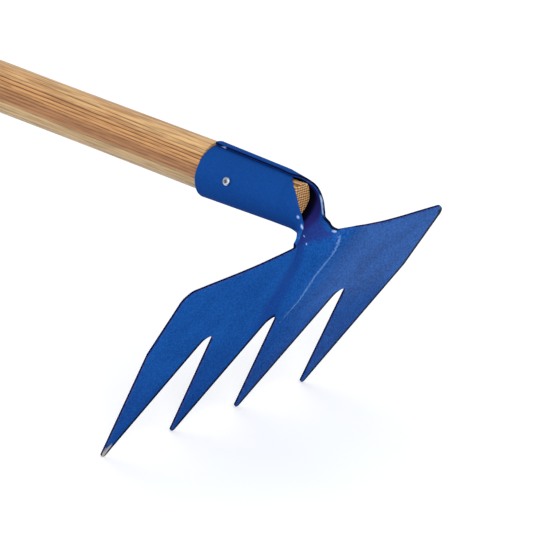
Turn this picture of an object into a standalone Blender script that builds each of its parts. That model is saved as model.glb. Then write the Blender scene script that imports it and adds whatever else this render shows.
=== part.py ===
"""Claw cultivator: a four-tine blade and its socket pressed from one sheet, riveted to a long ash handle.

The tool is modelled along its handle: +X towards the blade, +Y across it, +Z up, with the centre of the
handle's front end at the origin. It is then tilted until the tine tips and the butt both touch the ground,
and moved so that the world origin lies on the ground below the middle of its bounding box.
"""
import math

import bmesh
import bpy
import numpy as np
from mathutils import Matrix

# Sheet and fits, in metres
SHEET = 0.0020
CLEARANCE = 0.0003

# Rolled socket
MOUTH_DIAMETER = 0.0338
THROAT_DIAMETER = 0.0318
SOCKET_LENGTH = 0.0630
THROAT_SETBACK = 0.0140
UNDERLAP_ANGLE = 10.0
LAP_ANGLE = 4.0
LIP_SETBACK = 0.0137
FLAP_SETBACK = 0.0068
FRONT_SETBACK = 0.0027
FRONT_ARC = 155.0
CORNER_CUT = 0.0024

# Bent neck
BEND_SETBACK = 0.0017
BEND_RADIUS = 0.0112
BEND_TURN = 105.0
NECK_TURN = 58.0
NECK_WIDTH = 0.0416

# Open gutter from the socket's front to the neck: bend angle, radius as a share of the throat's, half arc
GUTTER = (
    (0.0, 0.940, 149.0),
    (6.5, 0.923, 136.0),
    (15.5, 0.846, 119.5),
    (31.3, 0.718, 97.5),
    (45.0, 1.141, 62.7),
    (58.0, 2.188, 39.6),
)

# Blade, measured along it from the line of its shoulders
RAKE = 63.7
BLADE_WIDTH = 0.2500
KINK_INSET = 0.0013
KINK_DROP = 0.0465
SHOULDER_RADIUS = 0.0050
CHANNEL_DEPTH = 0.0042
CHANNEL_START = 0.0064
CHANNEL_END = 0.0600
BLADE_LENGTH = 0.1380

# Upper edge of a wing: share of the way from neck to shoulder, height above the shoulder line
WING_EDGE = (
    (0.000, 0.0151),
    (0.072, 0.0121),
    (0.164, 0.0100),
    (0.246, 0.0087),
    (0.354, 0.0071),
    (0.534, 0.0054),
    (0.778, 0.0040),
    (1.000, 0.0026),
)

# Half width of the pressed channel and where its side turns outwards, down the blade
CHANNEL = (
    (-0.0151, 0.0342, 0.88),
    (-0.0060, 0.0310, 0.85),
    (0.0110, 0.0275, 0.80),
    (0.0600, 0.0200, 0.80),
)

# Tines and the gaps between them
GAP_SPACING = 0.0640
GAP_RADIUS = 0.0060
SIDE_GAP_DROP = 0.0495
MIDDLE_GAP_DROP = 0.0538
INNER_TIP = 0.0310
OUTER_TIP = 0.0960
TIP_RADIUS = 0.0020

# Handle
HANDLE_LENGTH = 1.2200
HANDLE_DIAMETER = 0.0288
SWELL_DIAMETER = 0.0296
SWELL_LENGTH = 0.1200
HANDLE_RISE = 0.0011
SPIGOT_DIAMETER = 0.0214
SPIGOT_LENGTH = 0.0150
SPIGOT_SHOULDER = 0.0080
END_CHAMFER = 0.0008
BUTT_RADIUS = 0.0050

# Rivet
RIVET_SETBACK = 0.0410
RIVET_TILT = 10.0
SHANK_DIAMETER = 0.0032
RIVET_HEAD_DIAMETER = 0.0050
RIVET_HEAD_HEIGHT = 0.0012
RIVET_DIMPLE_DIAMETER = 0.0020
RIVET_DIMPLE_DEPTH = 0.0005

# Facets
SECTION_CELLS = 36
WING_CELLS = (4, 5)
BLADE_ROWS = 9
GAP_ARC_ROWS = 4
TINE_ROWS = 11
TURNED_SEGMENTS = 40
RIVET_SEGMENTS = 24

MERGE = 0.00001


def glide(x, knots, values):
    """Smooth curve through the knots: cubic between them, with slopes that don't overshoot."""
    knots = np.asarray(knots, float)
    values = np.asarray(values, float)
    x = np.clip(x, knots[0], knots[-1])
    step = np.diff(knots)
    rise = np.diff(values) / step
    inner = (rise[:-1] * step[1:] + rise[1:] * step[:-1]) / (step[:-1] + step[1:])
    slope = np.concatenate([rise[:1], inner, rise[-1:]])
    steepest = 3 * np.minimum(np.abs(np.append(rise[0], rise)), np.abs(np.append(rise, rise[-1])))
    slope = np.clip(slope, -steepest, steepest)
    slope[1:-1][rise[:-1] * rise[1:] <= 0] = 0
    i = np.clip(np.searchsorted(knots, x, side="right") - 1, 0, len(step) - 1)
    u = (x - knots[i]) / step[i]
    return (values[i] * (1 + 2 * u) * (1 - u) ** 2 + slope[i] * step[i] * u * (1 - u) ** 2
            + values[i + 1] * u * u * (3 - 2 * u) + slope[i + 1] * step[i] * u * u * (u - 1))


def ease(x):
    """0 to 1 with level ends."""
    x = np.clip(x, 0, 1)
    return x * x * (3 - 2 * x)


def middle_radius(diameter):
    """Radius of the middle of the sheet in a tube of this outer diameter."""
    return (diameter - SHEET) / 2


def tube_radius(x):
    """Radius of the middle of the sheet along the socket's tapered tube."""
    return np.interp(x, [-SOCKET_LENGTH, -THROAT_SETBACK],
                     [middle_radius(MOUTH_DIAMETER), middle_radius(THROAT_DIAMETER)])


def bend_spine(turn):
    """Lowest line of the sheet in the bend, and the direction up from it, as (x, z) at a turn in degrees."""
    angle = np.radians(turn)
    up = np.stack([np.sin(angle), np.cos(angle)], -1)
    centre = np.array([-BEND_SETBACK, -middle_radius(THROAT_DIAMETER) - BEND_RADIUS])
    return centre + BEND_RADIUS * up, up


def blade_axes():
    """Directions down the blade and out of its front face, as (x, z)."""
    rake = math.radians(RAKE)
    return np.array([-math.cos(rake), -math.sin(rake)]), np.array([math.sin(rake), -math.cos(rake)])


def shoulder_point():
    """Point (x, z) of the wings' plane on the line of the shoulders."""
    down, out = blade_axes()
    spine, up = bend_spine(BEND_TURN)
    lip = spine + up * CHANNEL_DEPTH / (up @ out)
    return lip - down * CHANNEL_START


def section_line(turn):
    """Length of the section's middle line from the spine to the wings' plane, and its drop there."""
    down, out = blade_axes()
    spine, up = bend_spine(turn)
    reach = ((shoulder_point() - spine) @ out) / (up @ out)
    return reach, (spine + reach[..., None] * up - shoulder_point()) @ down


def channel_base(drop):
    """Spine point, section direction and section depth for a drop down the blade."""
    down, out = blade_axes()
    turns = np.linspace(NECK_TURN - 2, BEND_TURN, 200)
    turn = np.interp(drop, section_line(turns)[1], turns)
    spine, up = bend_spine(turn)
    depth = section_line(turn)[0]
    last_up = bend_spine(BEND_TURN)[1]
    past = np.clip((drop - CHANNEL_START) / (CHANNEL_END - CHANNEL_START), 0, 1)
    level = ease(2.5 * past)[..., None]
    direction = last_up * (1 - level) + out * level
    direction = direction / np.linalg.norm(direction, axis=-1, keepdims=True)
    shallow = section_line(np.array(BEND_TURN))[0] * (1 - past) ** 2
    on_blade = shoulder_point() + drop[..., None] * down - shallow[..., None] * direction
    below = drop > CHANNEL_START
    return (np.where(below[..., None], on_blade, spine), np.where(below[..., None], direction, up),
            np.where(below, shallow, depth))


def blade_surface(pattern):
    """Middle of the sheet for points (y, drop) of the blade's flat pattern."""
    y, drop = pattern[..., 0], pattern[..., 1]
    spine, up, depth = channel_base(drop)
    knots, widths, turns_out = np.array(CHANNEL).T
    across = np.clip(np.abs(y) / glide(drop, knots, widths), 0, 1)
    inflection = glide(drop, knots, turns_out)
    rise = np.where(across < inflection, across ** 2 / inflection,
                    1 - (1 - across) ** 2 / (1 - inflection))
    point = spine + (depth * rise)[..., None] * up
    return np.stack([point[..., 0], y, point[..., 1]], -1)


def socket_arc(x, angle, grown):
    """Points round the socket at these angles from its lowest line, at its middle radius plus an amount."""
    spine = tube_radius(x)
    radius = spine * np.interp(x, [-THROAT_SETBACK, -BEND_SETBACK], [1, GUTTER[0][1]])
    y = (radius + grown) * np.sin(angle)
    z = radius - spine - (radius + grown) * np.cos(angle)
    return np.stack([np.full_like(y, x), y, z], -1)


def flap_fade(x):
    """1 where the flaps lap, going to 0 where the socket opens into the gutter."""
    return ease((-x - FRONT_SETBACK) / (FLAP_SETBACK - FRONT_SETBACK))


def socket_row(x, share):
    """One row of the tube: the far flap laps over the near one, which is drawn in below it."""
    far = glide(x, [-SOCKET_LENGTH, CORNER_CUT - SOCKET_LENGTH, -LIP_SETBACK, -FLAP_SETBACK, -FRONT_SETBACK],
                [180, 180 + LAP_ANGLE, 180 + LAP_ANGLE, 176, FRONT_ARC])
    near = glide(x, [-SOCKET_LENGTH, -FLAP_SETBACK - CORNER_CUT, -FLAP_SETBACK, -FRONT_SETBACK],
                 [180 + UNDERLAP_ANGLE, 180 + UNDERLAP_ANGLE, 175, FRONT_ARC])
    angle = np.radians(np.where(share < 0, near, far) * share)
    tuck = (SHEET + CLEARANCE) * np.clip(-np.cos(angle), 0, 1) * (angle < 0) * flap_fade(x)
    return socket_arc(x, angle, -tuck)


def gutter_row(turn, share):
    """One row of the bend: an open arc that flattens into the top of the blade's channel."""
    turns, shares, arcs = np.array(GUTTER).T
    radius = middle_radius(THROAT_DIAMETER) / glide(turn, turns, 1 / shares)
    arc = np.radians(glide(turn, turns, arcs))
    spine, up = bend_spine(turn)
    y = radius * np.sin(arc * share)
    height = radius * (1 - np.cos(arc * share))
    top = blade_surface(np.stack([share * NECK_WIDTH / 2, np.full_like(share, neck_drop())], -1))
    neck_spine, neck_up = bend_spine(NECK_TURN)
    flat = (top[:, [0, 2]] - neck_spine) @ neck_up
    blend = ease((turn - 0.7 * NECK_TURN) / (0.3 * NECK_TURN))
    y = y * (1 - blend) + np.abs(y).max() * share * blend
    height = height * (1 - blend) + flat * blend
    point = spine + height[:, None] * up
    return np.stack([point[:, 0], y, point[:, 1]], -1)


def neck_drop():
    """Drop, above the shoulder line and so negative, at which the neck becomes the blade."""
    return float(section_line(np.array(NECK_TURN))[1])


def socket_and_neck():
    """Rows of the sheet from the mouth to the neck, but for the neck's own row."""
    share = np.linspace(-1, 1, SECTION_CELLS + 1)
    tube = np.concatenate([
        [-SOCKET_LENGTH, CORNER_CUT / 2 - SOCKET_LENGTH],
        np.linspace(CORNER_CUT - SOCKET_LENGTH, -LIP_SETBACK, 5),
        np.linspace(-LIP_SETBACK, -FLAP_SETBACK, 6)[1:-1],
        np.linspace(-FLAP_SETBACK, -BEND_SETBACK, 5)[:-1],
    ])
    rows = [socket_row(x, share) for x in tube]
    rows += [gutter_row(turn, share) for turn in np.linspace(0, NECK_TURN, 13)[:-1]]
    return np.array(rows)


def patch(top, bottom, left, right):
    """Grid between four edge curves: each edge's points carried across and blended."""
    v = np.linspace(0, 1, len(left))[:, None, None]
    u = np.linspace(0, 1, len(top))[None, :, None]
    corners = ((1 - u) * (1 - v) * top[0] + u * (1 - v) * top[-1]
               + (1 - u) * v * bottom[0] + u * v * bottom[-1])
    return ((1 - v) * top[None] + v * bottom[None] + (1 - u) * left[:, None] + u * right[:, None] - corners)


def line(start, end, cells):
    """Evenly spaced points of a straight run."""
    share = np.linspace(0, 1, cells + 1)[:, None]
    return np.array(start) * (1 - share) + np.array(end) * share


def wing_edge(y):
    """Drop of the wing's upper edge, above the shoulder line and so negative."""
    shares, heights = np.array(WING_EDGE).T
    reach = (np.asarray(y) - NECK_WIDTH / 2) / ((BLADE_WIDTH - NECK_WIDTH) / 2)
    heights = heights * -neck_drop() / heights[0]
    return -glide(reach, shares, heights)


def kink_half():
    """Half width of the blade at the kinks, where its sides turn inwards along the outer tines."""
    return BLADE_WIDTH / 2 - KINK_INSET


def wing_pattern():
    """Flat pattern (y, drop) of the right wing, from its upper edge down to the row of the gaps."""
    half = BLADE_WIDTH / 2
    columns = np.concatenate([np.linspace(NECK_WIDTH / 2, GAP_SPACING, WING_CELLS[0] + 1),
                              np.linspace(GAP_SPACING, half, WING_CELLS[1] + 1)[1:]])
    arc_drop = float(wing_edge(half - SHOULDER_RADIUS)) + SHOULDER_RADIUS
    corner = math.radians(45)
    middle = (half - SHOULDER_RADIUS * (1 - math.cos(corner)), arc_drop - SHOULDER_RADIUS * math.sin(corner))
    top_y = NECK_WIDTH / 2 + (columns - columns[0]) * (middle[0] - columns[0]) / (half - columns[0])
    top = np.stack([top_y, wing_edge(top_y)], -1)
    round_off = top_y > half - SHOULDER_RADIUS
    top[round_off, 1] = arc_drop - np.sqrt(SHOULDER_RADIUS ** 2 - (top_y[round_off] - half + SHOULDER_RADIUS) ** 2)
    right = np.concatenate([[top[-1]], line((half, arc_drop), (kink_half(), KINK_DROP), BLADE_ROWS - 1)])
    left = line((NECK_WIDTH / 2, neck_drop()), (NECK_WIDTH / 2, SIDE_GAP_DROP), BLADE_ROWS)
    bottom = np.concatenate([line((NECK_WIDTH / 2, SIDE_GAP_DROP), (GAP_SPACING, SIDE_GAP_DROP), WING_CELLS[0]),
                             line((GAP_SPACING, SIDE_GAP_DROP), (kink_half(), KINK_DROP), WING_CELLS[1])[1:]])
    return patch(top, bottom, left, right)


def tangent(gap_y, gap_drop, tip_y):
    """Angle, from the blade's axis, of the straight tine side that touches a gap's round and a tip's."""
    run = BLADE_LENGTH - TIP_RADIUS - gap_drop - GAP_RADIUS
    across = abs(tip_y - gap_y)
    return math.atan2(across, run) - math.asin((GAP_RADIUS + TIP_RADIUS) / math.hypot(across, run))


def tine_side(gap_y, gap_drop, tip_y):
    """Side of a tine along a gap: down to the gap's round end, round it, then straight to the tip."""
    side = 1 if tip_y > gap_y else -1
    lean = tangent(gap_y, gap_drop, tip_y)
    turn = np.linspace(0, math.pi / 2 - lean, GAP_ARC_ROWS + 1)
    arc = np.stack([gap_y + side * GAP_RADIUS * np.sin(turn), gap_drop + GAP_RADIUS * (1 - np.cos(turn))], -1)
    points = arc if gap_drop <= SIDE_GAP_DROP else np.concatenate([[(gap_y, SIDE_GAP_DROP)], arc])
    end = (tip_y - side * TIP_RADIUS * math.cos(lean), BLADE_LENGTH - TIP_RADIUS + TIP_RADIUS * math.sin(lean))
    return np.concatenate([points, line(points[-1], end, TINE_ROWS + 1 - len(points))[1:]])


def outer_side():
    """Outer side of an outer tine, straight from the kink to the tip."""
    run = BLADE_LENGTH - TIP_RADIUS - KINK_DROP
    across = kink_half() - OUTER_TIP
    lean = math.atan2(across, run) - math.asin(TIP_RADIUS / math.hypot(across, run))
    end = (OUTER_TIP + TIP_RADIUS * math.cos(lean), BLADE_LENGTH - TIP_RADIUS + TIP_RADIUS * math.sin(lean))
    return line((kink_half(), KINK_DROP), end, TINE_ROWS)


def tip_round(left, right, tip_y, cells):
    """Round end of a tine, from its left side to its right."""
    centre = np.array([tip_y, BLADE_LENGTH - TIP_RADIUS])
    first = math.atan2(*(left - centre))
    last = math.atan2(*(right - centre))
    angle = np.linspace(first, last, cells + 1)
    return centre + TIP_RADIUS * np.stack([np.sin(angle), np.cos(angle)], -1)


def tine_patterns(gap_row):
    """Flat patterns of the two right-hand tines below the row of the gaps."""
    centre = SECTION_CELLS // 2
    inner_top = gap_row[centre:centre * 2 + WING_CELLS[0] + 1]
    outer_top = gap_row[centre * 2 + WING_CELLS[0]:]
    left = tine_side(0.0, MIDDLE_GAP_DROP, INNER_TIP)
    right = tine_side(GAP_SPACING, SIDE_GAP_DROP, INNER_TIP)
    inner = patch(inner_top, tip_round(left[-1], right[-1], INNER_TIP, len(inner_top) - 1), left, right)
    left = tine_side(GAP_SPACING, SIDE_GAP_DROP, OUTER_TIP)
    right = outer_side()
    outer = patch(outer_top, tip_round(left[-1], right[-1], OUTER_TIP, len(outer_top) - 1), left, right)
    return inner, outer


def quads(rows):
    """Points and faces of a grid of rows."""
    count, width = rows.shape[:2]
    index = np.arange(count * width).reshape(count, width)
    faces = np.stack([index[:-1, :-1], index[1:, :-1], index[1:, 1:], index[:-1, 1:]], -1)
    return rows.reshape(-1, 3), faces.reshape(-1, 4)


def mirrored(pattern):
    """The same pattern on the other side of the centre line, its columns in order."""
    return pattern[:, ::-1] * np.array([-1, 1])


def pressed_sheet():
    """Grids of the whole pressing: the tube and neck, the blade above the gaps, and four tines."""
    wing = wing_pattern()
    share = np.linspace(-1, 1, SECTION_CELLS + 1)
    middle_y = share[None, :] * np.ones((BLADE_ROWS + 1, 1)) * NECK_WIDTH / 2
    middle = np.stack([middle_y, np.broadcast_to(wing[:, :1, 1], middle_y.shape)], -1)
    blade = np.concatenate([mirrored(wing)[:, :-1], middle, wing[:, 1:]], axis=1)
    gap_row = blade[-1][sum(WING_CELLS):]
    inner, outer = tine_patterns(gap_row)
    neck_row = blade_surface(blade[:1])[:, sum(WING_CELLS):sum(WING_CELLS) + SECTION_CELLS + 1]
    return [np.concatenate([socket_and_neck(), neck_row])] + [
        blade_surface(p) for p in (blade, inner, outer, mirrored(inner), mirrored(outer))]


def add_collection(name):
    """A new collection in the scene."""
    made = bpy.data.collections.new(name)
    bpy.context.scene.collection.children.link(made)
    return made


def material(name, colour, roughness, metallic=0.0, coat=0.0):
    """A plain finish."""
    made = bpy.data.materials.new(name)
    made.use_nodes = True
    shader = made.node_tree.nodes["Principled BSDF"]
    shader.inputs["Base Color"].default_value = (*colour, 1.0)
    shader.inputs["Roughness"].default_value = roughness
    shader.inputs["Metallic"].default_value = metallic
    shader.inputs["Coat Weight"].default_value = coat
    made.diffuse_color = (*colour, 1.0)
    return made


def add_object(name, mesh, where, finish=None):
    """An object of this mesh in a collection."""
    made = bpy.data.objects.new(name, mesh)
    where.objects.link(made)
    if finish:
        mesh.materials.append(finish)
    return made


def add_cutter(name, mesh, where):
    """A wire object that only cuts."""
    made = add_object(name, mesh, where)
    made.display_type = "WIRE"
    made.hide_render = True
    return made


def cut(target, tool, name, operation="DIFFERENCE"):
    """Cut the target with the tool, exactly."""
    modifier = target.modifiers.new(name, "BOOLEAN")
    modifier.operation = operation
    modifier.solver = "EXACT"
    modifier.object = tool


def profile_mesh(name, profile):
    """Mesh of a half section, as (radius, height)."""
    mesh = bpy.data.meshes.new(name)
    points = [(radius, 0.0, height) for radius, height in profile]
    mesh.from_pydata(points, [(i, i + 1) for i in range(len(points) - 1)], [])
    return mesh


def turn_profile(target, segments):
    """Turn a half section about Z into a round solid."""
    screw = target.modifiers.new("turned", "SCREW")
    screw.axis = "Z"
    screw.steps = segments
    screw.render_steps = segments
    screw.use_merge_vertices = True
    screw.merge_threshold = MERGE
    screw.use_smooth_shade = True


def sheet_mesh(name, grids):
    """Mesh of grids that meet point for point."""
    shape = bmesh.new()
    for grid in grids:
        points, faces = quads(grid)
        verts = [shape.verts.new(point) for point in points]
        for face in faces:
            shape.faces.new([verts[i] for i in face])
    bmesh.ops.remove_doubles(shape, verts=shape.verts, dist=MERGE)
    bmesh.ops.recalc_face_normals(shape, faces=shape.faces)
    mesh = bpy.data.meshes.new(name)
    shape.to_mesh(mesh)
    shape.free()
    mesh.shade_smooth()
    return mesh


def thicken(target, thickness):
    """Give a surface its thickness, half to each side."""
    solidify = target.modifiers.new("thickness", "SOLIDIFY")
    solidify.thickness = thickness
    solidify.offset = 0.0
    solidify.use_even_offset = True


def rivet_place():
    """The rivet's place: through the socket's axis, its set head on the near side and a little above level."""
    across = Matrix.Rotation(math.radians(90 - RIVET_TILT), 4, "X")
    return Matrix.Translation((-RIVET_SETBACK, 0, 0)) @ across


def make_drill(cutters):
    """The drill that makes the rivet's holes in the socket and the handle."""
    shape = bmesh.new()
    radius = SHANK_DIAMETER / 2 + CLEARANCE
    bmesh.ops.create_cone(shape, cap_ends=True, segments=RIVET_SEGMENTS, radius1=radius, radius2=radius,
                          depth=2 * MOUTH_DIAMETER)
    mesh = bpy.data.meshes.new("rivet_drill")
    shape.to_mesh(mesh)
    shape.free()
    drill = add_cutter("rivet_drill", mesh, cutters)
    drill.matrix_world = rivet_place()
    return drill


def make_relief(cutters):
    """The cutter that rasps the handle away below the tucked flap."""
    depth = SWELL_DIAMETER / 4
    rows = []
    for x in np.linspace(-SOCKET_LENGTH - CLEARANCE, -(FLAP_SETBACK + FRONT_SETBACK) / 2, 9):
        end = 180 + UNDERLAP_ANGLE + math.degrees(2 * CLEARANCE / tube_radius(x))
        angle = -np.radians(np.linspace(80, end, 24))
        inside = (SHEET + CLEARANCE) * np.cos(angle) - SHEET / 2 - CLEARANCE
        rows.append(socket_arc(x, angle, inside + depth / 2))
    relief = add_cutter("flap_relief", sheet_mesh("flap_relief", [np.array(rows)]), cutters)
    thicken(relief, depth)
    return relief


def make_head(parts, drill, finish):
    """The pressed head: socket, neck and blade from one sheet, drilled for the rivet."""
    head = add_object("head", sheet_mesh("head", pressed_sheet()), parts, finish)
    thicken(head, SHEET)
    cut(head, drill, "rivet holes")
    return head


def bore_radius(x):
    """Radius of the wood that fits the socket."""
    return float(tube_radius(x)) - SHEET / 2 - CLEARANCE


def shaft_profile():
    """Half section of the turned shaft, longer than needed at the front, as (radius, distance along +X)."""
    mouth = -SOCKET_LENGTH - CLEARANCE
    butt = -HANDLE_LENGTH
    full = SWELL_DIAMETER / 2
    slim = HANDLE_DIAMETER / 2
    profile = [(0.0, MOUTH_DIAMETER), (full, MOUTH_DIAMETER)]
    profile += [(full + (slim - full) * ease(share), mouth - SWELL_LENGTH * share) for share in np.linspace(0, 1, 6)]
    turn = np.radians(np.linspace(0, 90, 5))
    profile += [(slim - BUTT_RADIUS * (1 - math.cos(a)), butt + BUTT_RADIUS * (1 - math.sin(a))) for a in turn]
    return profile + [(0.0, butt)]


def socket_fit_profile():
    """Half section of all that the handle may fill: the spigot, the taper in the socket, then no limit."""
    spigot = SPIGOT_DIAMETER / 2
    seat = -SPIGOT_LENGTH - SPIGOT_SHOULDER
    mouth = -SOCKET_LENGTH - CLEARANCE
    past = -HANDLE_LENGTH - HANDLE_DIAMETER
    wide = 2 * MOUTH_DIAMETER
    profile = [(0.0, 0.0), (spigot - END_CHAMFER, 0.0), (spigot, -END_CHAMFER), (spigot, -SPIGOT_LENGTH)]
    profile += [(bore_radius(seat), seat), (bore_radius(mouth), mouth)]
    return profile + [(wide, mouth), (wide, past), (0.0, past)]


def make_handle(parts, cutters, drill, relief, finish):
    """The ash handle: turned, tapered to fit the socket, rasped below the tucked flap and drilled."""
    along = Matrix.Rotation(math.radians(90), 4, "Y")
    fit = add_cutter("socket_fit", profile_mesh("socket_fit", socket_fit_profile()), cutters)
    turn_profile(fit, TURNED_SEGMENTS)
    fit.matrix_world = along
    handle = add_object("handle", profile_mesh("handle", shaft_profile()), parts, finish)
    turn_profile(handle, TURNED_SEGMENTS)
    handle.matrix_world = Matrix.Translation((0, 0, HANDLE_RISE)) @ along
    cut(handle, fit, "tapered end", "INTERSECT")
    cut(handle, relief, "rasped flat")
    cut(handle, drill, "rivet hole")
    return handle, fit


def make_rivet(parts, finish):
    """The rivet: a dimpled head set on the near side, a shank through socket and handle, a plain far head."""
    shank = SHANK_DIAMETER / 2
    seat = float(tube_radius(-RIVET_SETBACK)) + SHEET / 2 + CLEARANCE
    top = seat + RIVET_HEAD_HEIGHT
    rim = RIVET_HEAD_DIAMETER / 2
    dimple = RIVET_DIMPLE_DIAMETER / 2
    turn = np.radians(np.linspace(90, 0, 5))
    crown = [(dimple + (rim - dimple) * math.cos(a), seat + RIVET_HEAD_HEIGHT * math.sin(a)) for a in turn]
    profile = [(0.0, top - RIVET_DIMPLE_DEPTH)] + crown
    profile += [(shank, seat), (shank, -seat)]
    turn = np.radians(np.linspace(0, 90, 5))
    profile += [(rim * math.cos(a), -seat - RIVET_HEAD_HEIGHT * math.sin(a)) for a in turn[:-1]]
    profile += [(0.0, -top)]
    rivet = add_object("rivet", profile_mesh("rivet", profile), parts, finish)
    turn_profile(rivet, RIVET_SEGMENTS)
    rivet.matrix_world = rivet_place()
    return rivet


def solid_points(solids):
    """Points of the finished solids, in the world."""
    bpy.context.view_layer.update()
    graph = bpy.context.evaluated_depsgraph_get()
    found = []
    for solid in solids:
        evaluated = solid.evaluated_get(graph)
        mesh = evaluated.to_mesh()
        points = np.empty(len(mesh.vertices) * 3, np.float32)
        mesh.vertices.foreach_get("co", points)
        place = np.array(evaluated.matrix_world)
        found.append(points.reshape(-1, 3) @ place[:3, :3].T + place[:3, 3])
        evaluated.to_mesh_clear()
    return np.concatenate(found)


def rest_on_ground(tool, solids):
    """Tilt the tool until tips and butt are level, and put the origin below the middle of its box."""
    points = solid_points(solids)
    rear = points[:, 0] < -HANDLE_LENGTH / 2
    tilt = 0.0
    for _ in range(5):
        height = points[:, 0] * math.sin(tilt) + points[:, 2] * math.cos(tilt)
        butt = points[rear][np.argmin(height[rear])]
        tip = points[~rear][np.argmin(height[~rear])]
        tilt = math.atan2(butt[2] - tip[2], tip[0] - butt[0])
    turn = Matrix.Rotation(-tilt, 4, "Y")
    turned = points @ np.array(turn)[:3, :3].T
    low = turned.min(axis=0)
    high = turned.max(axis=0)
    tool.matrix_world = Matrix.Translation((-(low[0] + high[0]) / 2, -(low[1] + high[1]) / 2, -low[2])) @ turn


def main():
    """Build the claw cultivator."""
    for item in list(bpy.data.objects):
        bpy.data.objects.remove(item, do_unlink=True)
    parts = add_collection("claw_cultivator")
    cutters = add_collection("cutters")
    paint = material("blue_paint", (0.010, 0.070, 0.300), 0.28, coat=0.5)
    ash = material("ash_wood", (0.620, 0.420, 0.210), 0.55)
    steel = material("rivet_steel", (0.360, 0.370, 0.400), 0.35, metallic=0.9)
    drill = make_drill(cutters)
    relief = make_relief(cutters)
    handle, fit = make_handle(parts, cutters, drill, relief, ash)
    solids = [make_head(parts, drill, paint), handle, make_rivet(parts, steel)]
    tool = bpy.data.objects.new("tool", None)
    parts.objects.link(tool)
    for item in solids + [drill, relief, fit]:
        item.parent = tool
    rest_on_ground(tool, solids)


if __name__ == "__main__":
    main()
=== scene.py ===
"""Claw cultivator: the painted head, the ash handle and the rivet, on a plain pale floor."""

import math

import bpy
import numpy as np
from mathutils import Matrix, Vector


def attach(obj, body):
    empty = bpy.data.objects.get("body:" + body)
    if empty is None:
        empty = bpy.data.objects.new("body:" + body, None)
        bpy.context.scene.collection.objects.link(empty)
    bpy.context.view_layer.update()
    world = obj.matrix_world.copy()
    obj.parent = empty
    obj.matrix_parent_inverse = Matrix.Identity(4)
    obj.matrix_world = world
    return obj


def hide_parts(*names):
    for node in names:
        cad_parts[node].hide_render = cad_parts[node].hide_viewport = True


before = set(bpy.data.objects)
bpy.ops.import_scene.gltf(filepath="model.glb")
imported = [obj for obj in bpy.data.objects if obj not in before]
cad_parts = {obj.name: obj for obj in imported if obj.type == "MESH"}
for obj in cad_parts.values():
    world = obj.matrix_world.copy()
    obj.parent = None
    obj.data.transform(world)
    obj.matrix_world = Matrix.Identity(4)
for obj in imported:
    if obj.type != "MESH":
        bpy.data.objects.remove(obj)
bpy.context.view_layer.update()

bl_info = {
    "name": "Claw Cultivator",
    "version": (1, 0, 0),
    "blender": (4, 5, 0),
    "location": "View3D > Sidebar > Claw Cultivator",
    "description": "Makes a four-tine claw cultivator on an ash handle",
    "category": "Object",
}

# How the tool rests on its tine tips and its butt: turn about Y in degrees, then the move in metres
RESTING_TILT = 6.588250
RESTING_MOVE = (0.594875, 0.0, 0.152613)

# Open gutter from the socket to the neck: bend angle, radius as a share of the throat's, half arc
GUTTER = (
    (0.0, 0.940, 149.0),
    (6.5, 0.923, 136.0),
    (15.5, 0.846, 119.5),
    (31.3, 0.718, 97.5),
    (45.0, 1.141, 62.7),
    (58.0, 2.188, 39.6),
)

# Upper edge of a wing: share of the way from neck to shoulder, height above the shoulder line
WING_EDGE = (
    (0.000, 0.0151),
    (0.072, 0.0121),
    (0.164, 0.0100),
    (0.246, 0.0087),
    (0.354, 0.0071),
    (0.534, 0.0054),
    (0.778, 0.0040),
    (1.000, 0.0026),
)

# Pressed channel down the blade: drop, half width, where its side turns outwards
CHANNEL = (
    (-0.0151, 0.0342, 0.86),
    (-0.0060, 0.0310, 0.78),
    (0.0110, 0.0275, 0.66),
    (0.0600, 0.0200, 0.62),
)

# Painted light in the channel: drop, line of the painted highlight on its right crease, middle of the painted
# shade band on its left side
CHANNEL_LIGHT_AND_SHADE = (
    (-0.0065, 0.0200, -0.0145),
    (0.0010, 0.0214, -0.0142),
    (0.0091, 0.0212, -0.0137),
    (0.0167, 0.0195, -0.0130),
    (0.0274, 0.0175, -0.0120),
    (0.0435, 0.0172, -0.0105),
    (0.0540, 0.0141, -0.0095),
    (0.0720, 0.0090, -0.0080),
)

# Painted glints round the neck and the lap: both ends (x, y, z) in the tool's own frame, and radius
PAINTED_GLINTS = (
    ((-0.0567, -0.0011, 0.0153), (-0.0560, -0.0011, 0.0154), 0.0009),
    ((0.0079, -0.0123, -0.0036), (0.0080, -0.0123, -0.0038), 0.0009),
    ((0.0109, -0.0121, -0.0078), (0.0117, -0.0119, -0.0094), 0.0009),
    ((0.0072, -0.0024, -0.0176), (0.0073, -0.0024, -0.0177), 0.0007),
    ((0.0097, -0.0025, -0.0216), (0.0098, -0.0025, -0.0217), 0.0008),
    ((0.0135, 0.0172, -0.0168), (0.0140, 0.0186, -0.0171), 0.0009),
    ((0.0057, 0.0108, 0.0034), (0.0077, 0.0102, -0.0012), 0.0005),
    ((0.0077, 0.0102, -0.0012), (0.0096, 0.0096, -0.0059), 0.0006),
)

# The front end of the handle: angle from its underside in degrees, radius as a share of the plain one
END_SHAPE = (
    (-180, 1.028),
    (-90, 1.000),
    (0, 0.897),
    (23, 0.785),
    (53, 0.738),
    (90, 0.832),
    (113, 0.850),
    (140, 1.000),
    (149, 1.047),
    (180, 1.028),
)

# Rings of points at a cut edge and just inside it, which round it
EDGE_RINGS = (0.0, 0.00016, 0.00050)

# How much thinner the sheet is than the solid one, so that it stays inside the CAD box, and the steps per
# metre in which points of two grids count as one
THINNER, JOIN_STEPS = 0.00006, 1e6

# Turns of the bend at which the hollow is worked out, and where the neck's section starts to change into the
# blade's, as shares of the neck's turn: its form first, then the spacing of its points
BEND_SAMPLES = 200
FORM_CHANGE, SPACING_CHANGE = 0.7, 0.6

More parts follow.
